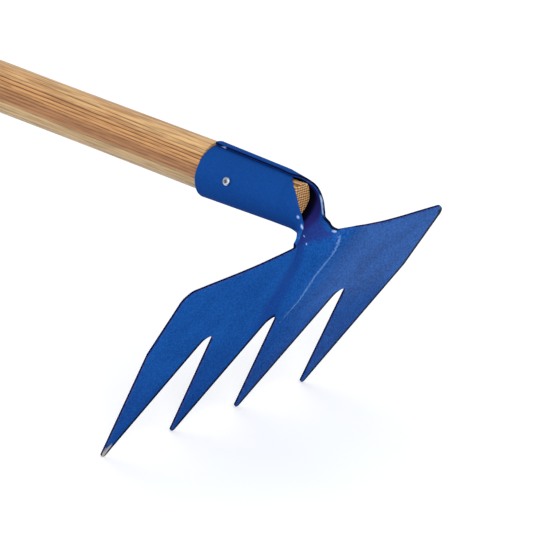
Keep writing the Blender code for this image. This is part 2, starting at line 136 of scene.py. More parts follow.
# Share of a channel's fading length in which its direction turns level, and of a blade's height in which its
# columns spread out
LEVEL_SHARE, SPREAD_SHARE = 0.4, 0.16

# Tip of a tine: the turn at which its flat starts, in degrees, and the rows round it
TIP_TURN, TIP_ROWS = 72, 7

# Length of the short run that an outer tine starts with at its kink
KINK_RUN = 0.010

# Cells from the centre line to the neck's side, from there to a side gap, and on to the blade's side
NECK_CELLS, INNER_CELLS, OUTER_CELLS = 46, 42, 44

# Rows of the tube up to the lap's front end, from there to the bend, round the bend, and of the blade above
# the tines; cells of a tine's side round its gap, and below it
TUBE_ROWS, FLAP_ROWS, BEND_ROWS, BLADE_ROWS = 34, 22, 42, 44
GAP_CELLS, TINE_CELLS = 12, 46

# Rings of the handle: in the socket, on its swell, on its shaft, and round its butt; points in each
SEATED_ROWS, SWELL_ROWS, SHAFT_ROWS, BUTT_ROWS = 40, 12, 90, 9
HANDLE_POINTS = 96

# Rings on the handle's flat front and butt, as shares of their edge's radius
FRONT_RINGS, BUTT_RINGS = (0.0005, 0.35, 0.7, 0.96), (0.66, 0.33, 0.0005)

# Rings of the rivet's dimple and of a domed head, points in each, and the radius of its last rings, which a
# small face closes
DIMPLE_ROWS, DOME_ROWS, RIVET_POINTS, LAST_RING = 6, 12, 48, 0.00002

# Arc across the neck where the blade starts, as a share of its width
NECK_ARC = 1.08

# Painted shade in the hollow: its share below the neck, and how far it fades next to an edge
NECK_SHADE = 0.24
SHADE_FADE = 0.007

# Painted shade lines along the neck's far edge, on the back and on the front: their reach and how far they
# fade
BACK_LINE = (0.0042, 0.0015)
FRONT_LINE = (0.0019, 0.0008)

# Half width and half height of the bare patch on a tip, then half widths of the painted crease highlight and
# of the painted shade band
BARE_PATCH = (0.0042, 0.0085)
CREASE_LIGHT_WIDTH, SHADE_BAND_WIDTH = 0.0023, 0.0100

# Drop at which the paint starts to change down the tines, and fine and broad scale of the surfaces' grain
TINES_START = 0.045
PAINT_GRAIN, STEEL_GRAIN = (820.0, 45.0), (1700.0, 420.0)

# Growth rings: direction across them (y, z), slope along the handle, sway, bow, and rings per metre
RING_ACROSS = (0.407, 0.913)
RING_SLOPE, RING_SWAY, RING_BOW, RING_COUNT = 0.014, 0.0034, 6.0, 520.0

# Bands of the ash from its lower to its upper side, lighter above partly as painted light: colour, and its
# start and end as shares
WOOD_BANDS = (
    ("wood_grey", 0.00, 0.17),
    ("wood_brown", 0.25, 0.36),
    ("wood_warm", 0.45, 0.58),
    ("wood_light", 0.68, 1.00),
)

# The photograph's camera in the tool's own frame: its right and up, the picture's centre along them, its
# distance, and its lens in millimetres
CAMERA_RIGHT = (0.796, 0.590, 0.133)
CAMERA_UP = (-0.309, 0.2085, 0.9277)
CAMERA_CENTRE = (-0.01726, -0.03826)
CAMERA_DISTANCE, CAMERA_LENS = 3.962, 466.7

# Where the head stands, the lamp's place as seen from there, and the lamp's size
HEAD_PLACE = (0.58, 0.0, 0.09)
LAMP_PLACE = (1.0, -1.7, 1.3)
LAMP_SIZE = 0.9

# The floor's half width, its level below the tool, and the white that the camera sees added to it
FLOOR_HALF, FLOOR_LEVEL, FLOOR_GLOW = 30, -0.0002, 0.26


def number(about, value, **settings):
    """A number that a user may change."""
    return bpy.props.FloatProperty(description=about, default=value, **settings)


def length(about, value):
    """A size that a user may change, in metres."""
    return number(about, value, min=0.0, unit="LENGTH", precision=4)


def degrees(about, value):
    """An angle that a user may change, kept in degrees."""
    return number(about, value, precision=2)


def colour(about, value):
    """A finish's colour."""
    return bpy.props.FloatVectorProperty(description=about, default=value, size=3, min=0.0, max=1.0,
                                         subtype="COLOR")


class CLAW_PG_head(bpy.types.PropertyGroup):
    """Sizes and colours of the pressed head."""

    sheet: length("Thickness of the steel", 0.0020)
    clearance: length("Gap between pieces that fit", 0.0003)
    mouth_diameter: length("Socket across its mouth", 0.0338)
    throat_diameter: length("Socket across its front", 0.0318)
    socket_length: length("Mouth to the handle's front end", 0.0630)
    throat_setback: length("Where the socket's taper ends", 0.0140)
    underlap_angle: degrees("Near flap past the top, in degrees", 10.0)
    lap_angle: degrees("Far flap past the top, in degrees", 4.0)
    lap_setback: length("Front end of the lap", 0.0137)
    flap_setback: length("Front corner of the flaps", 0.0068)
    front_setback: length("Where the flaps have opened", 0.0027)
    front_arc: degrees("Half arc of the opened front, in degrees", 155.0)
    corner_cut: length("Clipped corners of the flaps", 0.0024)
    bend_setback: length("Start of the bend", 0.0017)
    bend_radius: length("Radius of the bend under the sheet", 0.0112)
    bend_turn: degrees("Whole turn of the bend, in degrees", 105.0)
    neck_turn: degrees("Turn at which the blade starts, in degrees", 58.0)
    neck_width: length("Width where the blade starts", 0.0416)
    rake: degrees("Blade against the handle, in degrees", 63.7)
    blade_width: length("Width across the shoulders", 0.2500)
    kink_inset: length("How far the sides lean in above the tines", 0.0013)
    kink_drop: length("Shoulder line to the sides' kinks", 0.0465)
    shoulder_radius: length("Rounding of the shoulders", 0.0092)
    channel_depth: length("Depth of the channel where the bend ends", 0.0042)
    channel_start: length("Shoulder line to the end of the bend", 0.0064)
    channel_end: length("Shoulder line to where the blade is flat", 0.0600)
    blade_length: length("Shoulder line to the tips", 0.1380)
    gap_spacing: length("Centre line to a side gap", 0.0640)
    gap_radius: length("Round end of a gap", 0.0060)
    side_gap_drop: length("Shoulder line to a side gap", 0.0495)
    middle_gap_drop: length("Shoulder line to the middle gap", 0.0538)
    inner_tip: length("Centre line to an inner tip", 0.0310)
    outer_tip: length("Centre line to an outer tip", 0.0960)
    tip_radius: length("Rounding of the tips", 0.0020)
    paint: colour("Blue gloss paint", (0.017, 0.143, 0.540))
    paint_dark: colour("Darker flecks in the paint", (0.0035, 0.040, 0.200))
    paint_smooth: colour("Even paint on the socket", (0.0066, 0.054, 0.250))
    # Colour of the painted highlight on the channel's crease and of the painted sheen towards the right
    painted_highlight: colour("Where the paint is worn paler", (0.150, 0.300, 0.640))
    # Colour of the painted glints round the neck and the lap
    painted_glint: colour("Glint on drops of paint", (0.380, 0.540, 0.850))
    # Darker violet on the sheet's edge faces, also the colour of the painted shade band down the channel's
    # left side
    edge_and_shade_violet: colour("Paint on the sheet's edge", (0.0105, 0.040, 0.250))
    # Painted shade along the cut edges and painted shadow ring round the rivet
    edge_shade: colour("Thin dark paint along the cut edges", (0.003, 0.006, 0.028))
    # Purple of the painted shade in the bend's hollow; it also darkens the tines towards their tips
    shade_purple: colour("Darker paint in the bend's hollow", (0.024, 0.024, 0.185))
    # Painted black shadow behind the handle's front end
    shadow_black: colour("Darkest paint behind the handle's end", (0.003, 0.0025, 0.006))
    bare_steel: colour("Steel where the paint is ground off", (0.46, 0.43, 0.39))


class CLAW_PG_handle(bpy.types.PropertyGroup):
    """Sizes and colours of the ash handle."""

    length: length("Front end to butt", 1.2200)
    diameter: length("Thickness of the shaft", 0.0288)
    swell_diameter: length("Thickness beside the socket", 0.0296)
    swell_length: length("Length of the swell", 0.1200)
    rise: length("Shaft above the socket's axis", 0.0011)
    spigot_diameter: length("Thickness of the front end", 0.0214)
    spigot_length: length("Length of the front end", 0.0150)
    spigot_shoulder: length("Length of the slope behind it", 0.0080)
    end_chamfer: length("Chamfer of the front end", 0.0008)
    butt_radius: length("Rounding of the butt", 0.0052)
    wood_light: colour("Upper side of the ash", (0.800, 0.485, 0.205))
    wood_warm: colour("Middle of the ash", (0.670, 0.335, 0.120))
    wood_brown: colour("Brown streak in the ash", (0.430, 0.195, 0.072))
    wood_grey: colour("Greyer lower side of the ash", (0.620, 0.420, 0.200))
    wood_line: colour("Pores along the growth rings", (0.150, 0.052, 0.016))
    wood_end: colour("Sawn front end", (0.760, 0.430, 0.150))
    # Colour of the painted highlight on the ridge of the handle's front end
    wood_highlight: colour("Worn edge of the front end", (0.900, 0.640, 0.340))


class CLAW_PG_rivet(bpy.types.PropertyGroup):
    """Sizes and colours of the rivet."""

    setback: length("Handle's front end to the rivet", 0.0410)
    tilt: degrees("Set head above level, in degrees", 10.0)
    shank_diameter: length("Thickness of the shank", 0.0032)
    head_diameter: length("Width of its heads", 0.0050)
    head_height: length("Height of its heads", 0.0012)
    dimple_diameter: length("Width of the dimple in the set head", 0.0020)
    dimple_depth: length("Depth of that dimple", 0.0005)
    steel: colour("Bare steel of the rivet", (0.62, 0.65, 0.72))


class CLAW_PG_stage(bpy.types.PropertyGroup):
    """The floor, the lights and the camera."""

    floor: colour("Pale floor", (0.90, 0.90, 0.90))
    sky: number("Strength of the soft light all round", 0.82, min=0.0)
    lamp: number("Power of the large soft lamp", 20.0, min=0.0, unit="POWER")


def glide(x, knots, values):
    """Smooth curve through the knots: cubic between them, with slopes that don't overshoot."""
    knots = np.asarray(knots, float)
    values = np.asarray(values, float)
    x = np.clip(x, knots[0], knots[-1])
    step = np.diff(knots)
    rise = np.diff(values) / step
    inner = (rise[:-1] * step[1:] + rise[1:] * step[:-1]) / (step[:-1] + step[1:])
    slope = np.concatenate([rise[:1], inner, rise[-1:]])
    gentlest = np.minimum(np.abs(np.append(rise[0], rise)), np.abs(np.append(rise, rise[-1])))
    slope = np.clip(slope, -3 * gentlest, 3 * gentlest)
    slope[1:-1][rise[:-1] * rise[1:] <= 0] = 0
    i = np.clip(np.searchsorted(knots, x, side="right") - 1, 0, len(step) - 1)
    u = (x - knots[i]) / step[i]
    start = values[i] * (1 + 2 * u) * (1 - u) ** 2 + slope[i] * step[i] * u * (1 - u) ** 2
    end = values[i + 1] * u * u * (3 - 2 * u) + slope[i + 1] * step[i] * u * u * (u - 1)
    return start + end


def ease(x):
    """0 to 1 with level ends: 3 x squared less 2 x cubed."""
    x = np.clip(x, 0, 1)
    return x * x * (3 - 2 * x)


def resting_place():
    """The matrix that sets the tool down on its tips and its butt."""
    return Matrix.Translation(RESTING_MOVE) @ Matrix.Rotation(-math.radians(RESTING_TILT), 4, "Y")


def rivet_place(r):
    """The matrix that puts the rivet, made along Z, into the tool's own frame, with X along the handle."""
    return Matrix.Translation((-r.setback, 0, 0)) @ Matrix.Rotation(math.radians(90 - r.tilt), 4, "X")


def placed(points, matrix):
    """Points moved by a matrix."""
    place = np.array(matrix)
    return points @ place[:3, :3].T + place[:3, 3]


def throat_radius(s):
    """Radius of the middle of the sheet where the socket's taper ends."""
    return (s.throat_diameter - s.sheet) / 2


def tube_radius(s, x):
    """Radius of the middle of the sheet along the tapered socket."""
    ends = [(s.mouth_diameter - s.sheet) / 2, throat_radius(s)]
    return np.interp(x, [-s.socket_length, -s.throat_setback], ends)


def bend_spine(s, turn):
    """Lowest line of the sheet in the bend and the direction up from it, as (x, z), on a circle."""
    angle = np.radians(turn)
    up = np.stack([np.sin(angle), np.cos(angle)], -1)
    return np.array([-s.bend_setback, -throat_radius(s) - s.bend_radius]) + s.bend_radius * up, up


def blade_axes(s):
    """Directions down the blade and out of its front face, as (x, z)."""
    rake = math.radians(s.rake)
    return np.array([-math.cos(rake), -math.sin(rake)]), np.array([math.sin(rake), -math.cos(rake)])


def shoulder_point(s):
    """Point (x, z) of the wings' plane on the line of the shoulders."""
    down, out = blade_axes(s)
    spine, up = bend_spine(s, s.bend_turn)
    return spine + up * s.channel_depth / (up @ out) - down * s.channel_start


def section_line(s, turn):
    """Distance from the bend's spine to the wings' plane, and the drop at which it gets there."""
    down, out = blade_axes(s)
    spine, up = bend_spine(s, turn)
    reach = ((shoulder_point(s) - spine) @ out) / (up @ out)
    return reach, (spine + reach[..., None] * up - shoulder_point(s)) @ down


def neck_drop(s):
    """Drop at which the neck becomes the blade: above the shoulders, so negative."""
    return float(section_line(s, np.array(s.neck_turn))[1])


def channel_base(s, drop):
    """Spine, direction and depth of the channel's section: the bend's circle, then a parabola that fades."""
    down, out = blade_axes(s)
    turns = np.linspace(s.neck_turn - 2, s.bend_turn, BEND_SAMPLES)
    turn = np.interp(drop, section_line(s, turns)[1], turns)
    spine, up = bend_spine(s, turn)
    depth = section_line(s, turn)[0]
    past = np.clip((drop - s.channel_start) / (s.channel_end - s.channel_start), 0, 1)
    level = ease(past / LEVEL_SHARE)[..., None]
    direction = bend_spine(s, s.bend_turn)[1] * (1 - level) + out * level
    direction = direction / np.linalg.norm(direction, axis=-1, keepdims=True)
    shallow = section_line(s, np.array(s.bend_turn))[0] * (1 - past) ** 2
    on_blade = shoulder_point(s) + drop[..., None] * down - shallow[..., None] * direction
    below = drop > s.channel_start
    return (np.where(below[..., None], on_blade, spine), np.where(below[..., None], direction, up),
            np.where(below, shallow, depth))


def blade_surface(s, pattern):
    """Middle of the sheet at points (y, drop): the spine and a hollow that turns out into the level wings."""
    y, drop = pattern[..., 0], pattern[..., 1]
    spine, up, depth = channel_base(s, drop)
    knots, widths, turns_out = np.array(CHANNEL).T
    across = np.clip(np.abs(y) / glide(drop, knots, widths), 0, 1)
    bend = glide(drop, knots, turns_out)
    rise = np.where(across < bend, across ** 2 / bend, 1 - (1 - across) ** 2 / (1 - bend))
    point = spine + (depth * rise)[..., None] * up
    return np.stack([point[..., 0], y, point[..., 1]], -1)


def socket_row(s, x, share):
    """Section of the tube: a circle whose near flap is drawn in below the far one by the sheet and a gap."""
    far = glide(x, [-s.socket_length, s.corner_cut - s.socket_length, -s.lap_setback, -s.flap_setback,
                    -s.front_setback, -s.bend_setback],
                [180, 180 + s.lap_angle, 180 + s.lap_angle, 176, s.front_arc, GUTTER[0][2]])
    near = glide(x, [-s.socket_length, -s.flap_setback - s.corner_cut, -s.flap_setback, -s.front_setback,
                     -s.bend_setback],
                 [180 + s.underlap_angle, 180 + s.underlap_angle, 175, s.front_arc, GUTTER[0][2]])
    angle = np.radians(np.where(share < 0, near, far) * share)
    fade = ease((-x - s.front_setback) / (s.flap_setback - s.front_setback))
    tuck = (s.sheet + s.clearance) * np.clip(-np.cos(angle), 0, 1) * (angle < 0) * fade
    spine = tube_radius(s, x)
    radius = spine * np.interp(x, [-s.throat_setback, -s.bend_setback], [1, GUTTER[0][1]])
    y = (radius - tuck) * np.sin(angle)
    z = radius - spine - (radius - tuck) * np.cos(angle)
    return np.stack([np.full_like(y, x), y, z], -1)


def gutter_row(s, turn, share):
    """Section of the bend: an open arc that flattens into the top of the blade's channel."""
    turns, shares, arcs = np.array(GUTTER).T
    radius = throat_radius(s) / glide(turn, turns, 1 / shares)
    arc = np.radians(glide(turn, turns, arcs))
    spine, up = bend_spine(s, turn)
    y = radius * np.sin(arc * share)
    height = radius * (1 - np.cos(arc * share))
    top = blade_surface(s, np.stack([share * s.neck_width / 2, np.full_like(share, neck_drop(s))], -1))
    neck_spine, neck_up = bend_spine(s, s.neck_turn)
    flat = (top[:, [0, 2]] - neck_spine) @ neck_up
    blend = ease((turn / s.neck_turn - FORM_CHANGE) / (1 - FORM_CHANGE))
    y = y * (1 - blend) + np.abs(y).max() * share * blend
    height = height * (1 - blend) + flat * blend
    point = spine + height[:, None] * up
    return np.stack([point[:, 0], y, point[:, 1]], -1)


def spread(cells, size):
    """Shares from 0 to 1 across a width of this size, with the edge rings at both ends."""
    rings = np.array(EDGE_RINGS) / size
    rings = np.minimum(rings, [0.0, 0.12, 0.25])
    return np.concatenate([rings, np.linspace(rings[-1], 1 - rings[-1], cells - 3)[1:-1], 1 - rings[::-1]])


def wing_edge(s, y):
    """Drop of the wing's upper edge, above the shoulder line and so negative."""
    shares, heights = np.array(WING_EDGE).T
    reach = (np.asarray(y) - s.neck_width / 2) / ((s.blade_width - s.neck_width) / 2)
    return glide(reach, shares, heights * neck_drop(s) / heights[0])


def shoulder_arc(s):
    """Half width of the blade, and the centre (y, drop) of the round of its shoulder."""
    half = s.blade_width / 2
    y = half - s.shoulder_radius
    return half, y, float(wing_edge(s, y)) + s.shoulder_radius


def edge_distance(s, y, drop):
    """Distance of pattern points above the gaps' row from the nearest cut edge."""
    half, arc_y, arc_drop = shoulder_arc(s)
    side = half - s.kink_inset * np.clip(drop / s.kink_drop, 0, 1.2) - np.abs(y)
    top = (drop - wing_edge(s, np.abs(y))) * 0.97
    neck = np.hypot(np.abs(y) - s.neck_width / 2, drop - neck_drop(s))
    top = np.where(np.abs(y) < s.neck_width / 2, neck, top)
    corner = s.shoulder_radius - np.hypot(np.abs(y) - arc_y, drop - arc_drop)
    rounded = (np.abs(y) > arc_y) & (drop < arc_drop)
    found = np.where(rounded, corner, np.minimum(side, top))
    for gap, gap_drop in ((0.0, s.middle_gap_drop), (s.gap_spacing, s.side_gap_drop)):
        round_gap = np.hypot(np.abs(y) - gap, drop - gap_drop - s.gap_radius) - s.gap_radius
        found = np.minimum(found, round_gap)
    return np.maximum(found, 0)


def run(start, end, cells):
    """Evenly spaced points of a straight run."""
    share = np.linspace(0, 1, cells + 1)[:, None]
    return np.array(start) * (1 - share) + np.array(end) * share


def tine_side(s, gap_y, gap_drop, tip_y):
    """Side of a tine along a gap, and its lean: down to the gap's round, round it, straight to the tip and
    round that."""
    side = 1 if tip_y > gap_y else -1
    reach = s.blade_length - s.tip_radius - gap_drop - s.gap_radius
    across = abs(tip_y - gap_y)
    lean = math.atan2(across, reach) - math.asin((s.gap_radius + s.tip_radius) / math.hypot(across, reach))
    lead = 0 if gap_drop <= s.side_gap_drop else 4
    turn = np.linspace(0, math.pi / 2 - lean, GAP_CELLS - lead + 1)
    arc = np.stack([gap_y + side * s.gap_radius * np.sin(turn),
                    gap_drop + s.gap_radius * (1 - np.cos(turn))], -1)
    start = run((gap_y, s.side_gap_drop), (gap_y, gap_drop), lead)[:-1] if lead else arc[:0]
    return np.concatenate([start, arc, straight_and_tip(s, arc[-1], tip_y, -side, lean)]), lean


def straight_and_tip(s, start, tip_y, side, lean):
    """The straight rest of a tine's side and its quarter of the tip, which ends in a narrow flat."""
    centre = np.array([tip_y, s.blade_length - s.tip_radius])
    turn = np.radians(np.linspace(math.degrees(lean), TIP_TURN, TIP_ROWS))
    tip = centre + s.tip_radius * np.stack([side * np.cos(turn), np.sin(turn)], -1)
    return np.concatenate([run(start, tip[0], TINE_CELLS)[1:], tip[1:]])


def outer_side(s):
    """Outer side of an outer tine, and its lean: a short run at the kink, then straight on to the tip."""
    kink = (s.blade_width / 2 - s.kink_inset, s.kink_drop)
    reach = s.blade_length - s.tip_radius - s.kink_drop
    across = kink[0] - s.outer_tip
    lean = math.atan2(across, reach) - math.asin(s.tip_radius / math.hypot(across, reach))
    start = run(kink, (kink[0] - KINK_RUN * math.tan(lean), s.kink_drop + KINK_RUN), GAP_CELLS)
    return np.concatenate([start, straight_and_tip(s, start[-1], s.outer_tip, 1, lean)]), lean


def tine(s, top_row, left, right, tip_y):
    """Pattern of a tine: straight rows between its sides, each point's distance from the cut edge, and 1
    where that edge is the right one. A side is its line, its lean and the top of its gap, if it has one."""
    width = np.linalg.norm(right[0] - left[0], axis=1)
    even = np.array([spread(len(top_row) - 1, w) for w in width])
    even[0] = (top_row[:, 0] - top_row[0, 0]) / (top_row[-1, 0] - top_row[0, 0])
    blend = ease(np.arange(len(width)) / (0.25 * len(width)))[:, None]
    share = even[0] * (1 - blend) + even * blend
    pattern = left[0][:, None] * (1 - share[..., None]) + right[0][:, None] * share[..., None]
    pattern[0] = top_row
    found = []
    for line, lean, gap in (left, right):
        reach = np.abs(pattern[..., 0] - line[:, None, 0]) * math.cos(lean)
        if gap:
            away = pattern - [gap[0], gap[1] + s.gap_radius]
            beside = away[..., 1] < -s.gap_radius * math.sin(lean)
            reach = np.where(beside, np.hypot(away[..., 0], away[..., 1]) - s.gap_radius, reach)
        found.append(reach)
    edge = np.minimum(found[0], found[1])
    tip = s.tip_radius - np.hypot(pattern[..., 0] - tip_y, pattern[..., 1] - s.blade_length + s.tip_radius)
    edge = np.where(pattern[..., 1] > s.blade_length - s.tip_radius, np.minimum(edge, tip), edge)
    return pattern, np.maximum(edge, 0), np.where(found[1] < found[0], 1.0, 0.0)


def mirrored(grid):
    """A pattern, its distances and its sides on the other side of the centre line, columns in order."""
    pattern, edge, hand = grid
    return pattern[:, ::-1] * np.array([-1, 1]), edge[:, ::-1], 1 - hand[:, ::-1]


def neck_shares(half_size):
    """Shares from -1 to 1 across a socket or neck of this half size, with the edge rings at both ends."""
    return 2 * spread(2 * NECK_CELLS, 2 * half_size) - 1


def neck_grid(s, last):
    """Grid of socket and bend, down to the blade's top row, which is given. See head_grids for its parts."""
    neck_arc = s.neck_width / 2 * NECK_ARC
    share = neck_shares(neck_arc)
    tube = np.concatenate([np.array(EDGE_RINGS) - s.socket_length,
                           np.linspace(0.0012 - s.socket_length, -s.lap_setback, TUBE_ROWS),
                           np.linspace(-s.lap_setback, -s.bend_setback, FLAP_ROWS)[1:-1]])
    bend = np.linspace(0, s.neck_turn, BEND_ROWS)[:-1]
    turns, radii, arcs = np.array(GUTTER).T
    rows, edges = [], []
    for x in tube:
        side = tube_radius(s, x) * math.radians(180 + s.lap_angle)
        here = neck_shares(side)
        rows.append(socket_row(s, x, here))
        edges.append(np.minimum((1 - np.abs(here)) * side, x + s.socket_length))
    for turn in bend:
        side = throat_radius(s) * math.radians(glide(turn, turns, radii * arcs))
        blend = ease((turn / s.neck_turn - SPACING_CHANGE) / (1 - SPACING_CHANGE))
        here = neck_shares(side) * (1 - blend) + share * blend
        rows.append(gutter_row(s, turn, here))
        edges.append((1 - np.abs(here)) * side)
    edges = np.array(edges + [(1 - np.abs(share)) * neck_arc])
    turned = np.concatenate([tube * 0, bend, [s.neck_turn]])[:, None]
    # Painted shade in the hollow: full in the tube, falling to a share round the bend, fading next to the
    # edges
    hollow_shade = ease(edges / SHADE_FADE) * (NECK_SHADE + (1 - NECK_SHADE) * (1 - ease((turned - 2) / 32)))
    rolled = np.ones_like(edges) * (1 - ease((turned - 20) / 30))
    return np.array(rows + [last]), edges, hollow_shade, rolled, edges * 0


def arc_reach(radius, off):
    """Reach of a circle at a distance from its centre line: the root of radius squared less off squared."""
    return np.sqrt(np.maximum(radius ** 2 - np.maximum(off, 0) ** 2, 0))


def wing_pattern(s):
    """Points (y, drop) of the blade's right half above the gaps' row: columns that spread from the upper edge
    and the shoulder's round to the kink, on rows from the neck down to the gaps."""
    neck_half = s.neck_width / 2
    half, arc_y, arc_drop = shoulder_arc(s)
    columns = np.concatenate([
        neck_half * neck_shares(neck_half * NECK_ARC)[NECK_CELLS:],
        np.linspace(neck_half, s.gap_spacing, INNER_CELLS + 1)[1:],
        np.linspace(s.gap_spacing, half - EDGE_RINGS[2], OUTER_CELLS - 1)[1:], [half - EDGE_RINGS[1], half]])
    squeeze = (half - s.shoulder_radius * (1 - math.sqrt(0.5)) - arc_y) / s.shoulder_radius
    top_y = np.where(columns > arc_y, arc_y + (columns - arc_y) * squeeze, columns)
    top = np.where(columns < neck_half, neck_drop(s), wing_edge(s, np.maximum(columns, neck_half)))
    top = np.where(columns > arc_y, arc_drop - arc_reach(s.shoulder_radius, top_y - arc_y), top)
    past = np.maximum(columns - s.gap_spacing, 0)
    foot = s.side_gap_drop - (s.side_gap_drop - s.kink_drop) * past / (half - s.gap_spacing)
    foot_y = columns - s.kink_inset * (past / (half - s.gap_spacing))
    down = spread(BLADE_ROWS, s.side_gap_drop - neck_drop(s))[:, None]
    out = ease(down / SPREAD_SHARE)
    y = top_y * (1 - out) + columns * out - (columns - foot_y) * down * out
    drop = top * (1 - down) + foot * down
    low = drop[:, -1:]
    rim = arc_y + arc_reach(s.shoulder_radius, arc_drop - low)
    rim = np.where(low < arc_drop, rim, half - s.kink_inset * np.clip(low / s.kink_drop, 0, 1))
    y = np.where(y > arc_y, arc_y + (y - arc_y) * ((rim - arc_y) / (y[:, -1:] - arc_y)), y)
    return np.stack([y, drop], -1)


def head_grids(s):
    """Grids of the whole pressing: socket and neck, blade, four tines. Each has its points and, for each
    point, the distance from the nearest cut edge, the painted shade in the hollow, the share of the socket,
    and
    1 where that edge is the right one."""
    wing = wing_pattern(s)
    blade = np.concatenate([wing[:, :0:-1] * np.array([-1, 1]), wing], axis=1)
    y, drop = blade[..., 0], blade[..., 1]
    gap_at = NECK_CELLS + INNER_CELLS
    middle_gap, side_gap = (0.0, s.middle_gap_drop), (s.gap_spacing, s.side_gap_drop)
    inner_tine = tine(s, wing[-1, :gap_at + 1], (*tine_side(s, *middle_gap, s.inner_tip), middle_gap),
                      (*tine_side(s, *side_gap, s.inner_tip), side_gap), s.inner_tip)
    outer_tine = tine(s, wing[-1, gap_at:], (*tine_side(s, *side_gap, s.outer_tip), side_gap),
                      (*outer_side(s), None), s.outer_tip)
    beside = (s.blade_width / 2 - 0.004 - y < 0.5 * (drop - wing_edge(s, np.abs(y)))) * 1.0
    middle = slice(wing.shape[1] - 1 - NECK_CELLS, wing.shape[1] + NECK_CELLS)
    made = [neck_grid(s, blade_surface(s, blade[:1])[0, middle])]
    for pattern, edge, hand in ((blade, edge_distance(s, y, drop), beside), inner_tine, outer_tine,
                                mirrored(inner_tine), mirrored(outer_tine)):
        # Painted shade carried from the hollow onto the top of the blade, fading down it and towards its
        # sides
        shade_tail = ease((s.neck_width / 2 * NECK_ARC - np.abs(pattern[..., 0])) / SHADE_FADE)
        shade_tail = NECK_SHADE * shade_tail * (1 - ease((pattern[..., 1] - neck_drop(s)) / 0.018))
        made.append((blade_surface(s, pattern), edge, shade_tail, edge * 0, hand))
    return made


def grid_quads(count, width):
    """Corner indices of a grid's cells."""
    index = np.arange(count * width).reshape(count, width)
    return np.stack([index[:-1, :-1], index[1:, :-1], index[1:, 1:], index[:-1, 1:]], -1).reshape(-1, 4)


def shell(grids, thickness):
    """Closed sheet round grids that meet: each point is pushed out along its normal to both sides, by half
    the thickness less a circular rounding next to a cut edge, and the free edges are joined by a rim. Returns
    its points, its faces, and for each point its distance from the cut edge, its painted shade in the hollow,
    its share of the socket, 1 next to a right-hand edge, and 1 on the back."""
    points = np.concatenate([grid[0].reshape(-1, 3) for grid in grids])
    edge, hollow_shade, rolled, hand = [np.concatenate([grid[i].reshape(-1) for grid in grids]) for i in (1, 2, 3, 4)]
    start = np.cumsum([0] + [grid[1].size for grid in grids])
    quads = np.concatenate([grid_quads(*grid[1].shape) + first for grid, first in zip(grids, start)])
    _, keep, merged = np.unique(np.round(points * JOIN_STEPS).astype(np.int64), axis=0, return_index=True,
                                return_inverse=True)
    merged = merged.reshape(-1)
    nearest = np.full(len(keep), 1.0)
    np.minimum.at(nearest, merged, edge)
    points = points[keep]
    quads = merged[quads]
    cross = np.cross(points[quads[:, 2]] - points[quads[:, 0]], points[quads[:, 3]] - points[quads[:, 1]])
    normal = np.zeros_like(points)
    for corner in range(4):
        np.add.at(normal, quads[:, corner], cross)
    normal /= np.maximum(np.linalg.norm(normal, axis=1, keepdims=True), 1e-15)
    ends = np.concatenate([quads[:, [i, (i + 1) % 4]] for i in range(4)])
    code = ends[:, 0] * len(points) + ends[:, 1]
    back = ends[:, 1] * len(points) + ends[:, 0]
    free = ends[~np.isin(code, back)]
    nearest[free.reshape(-1)] = 0.0
    ring = EDGE_RINGS[-1]
    off = ring - np.sqrt(ring ** 2 - np.clip(ring - nearest, 0, ring) ** 2)
    out = normal * (thickness / 2 - off)[:, None]
    count = len(points)
    a, b = free.T
    rim = np.stack([b, a, a + count, b + count], -1)
    faces = np.concatenate([quads, quads[:, ::-1] + count, rim])
    traits = {"edge_distance": np.tile(nearest, 2), "hollow": np.concatenate([hollow_shade[keep], np.zeros(count)]),
              "rolled": np.tile(rolled[keep], 2), "right_edge": np.tile(hand[keep], 2),
              "back": np.repeat([0.0, 1.0], count)}
    return np.concatenate([points + out, points - out]), faces, traits


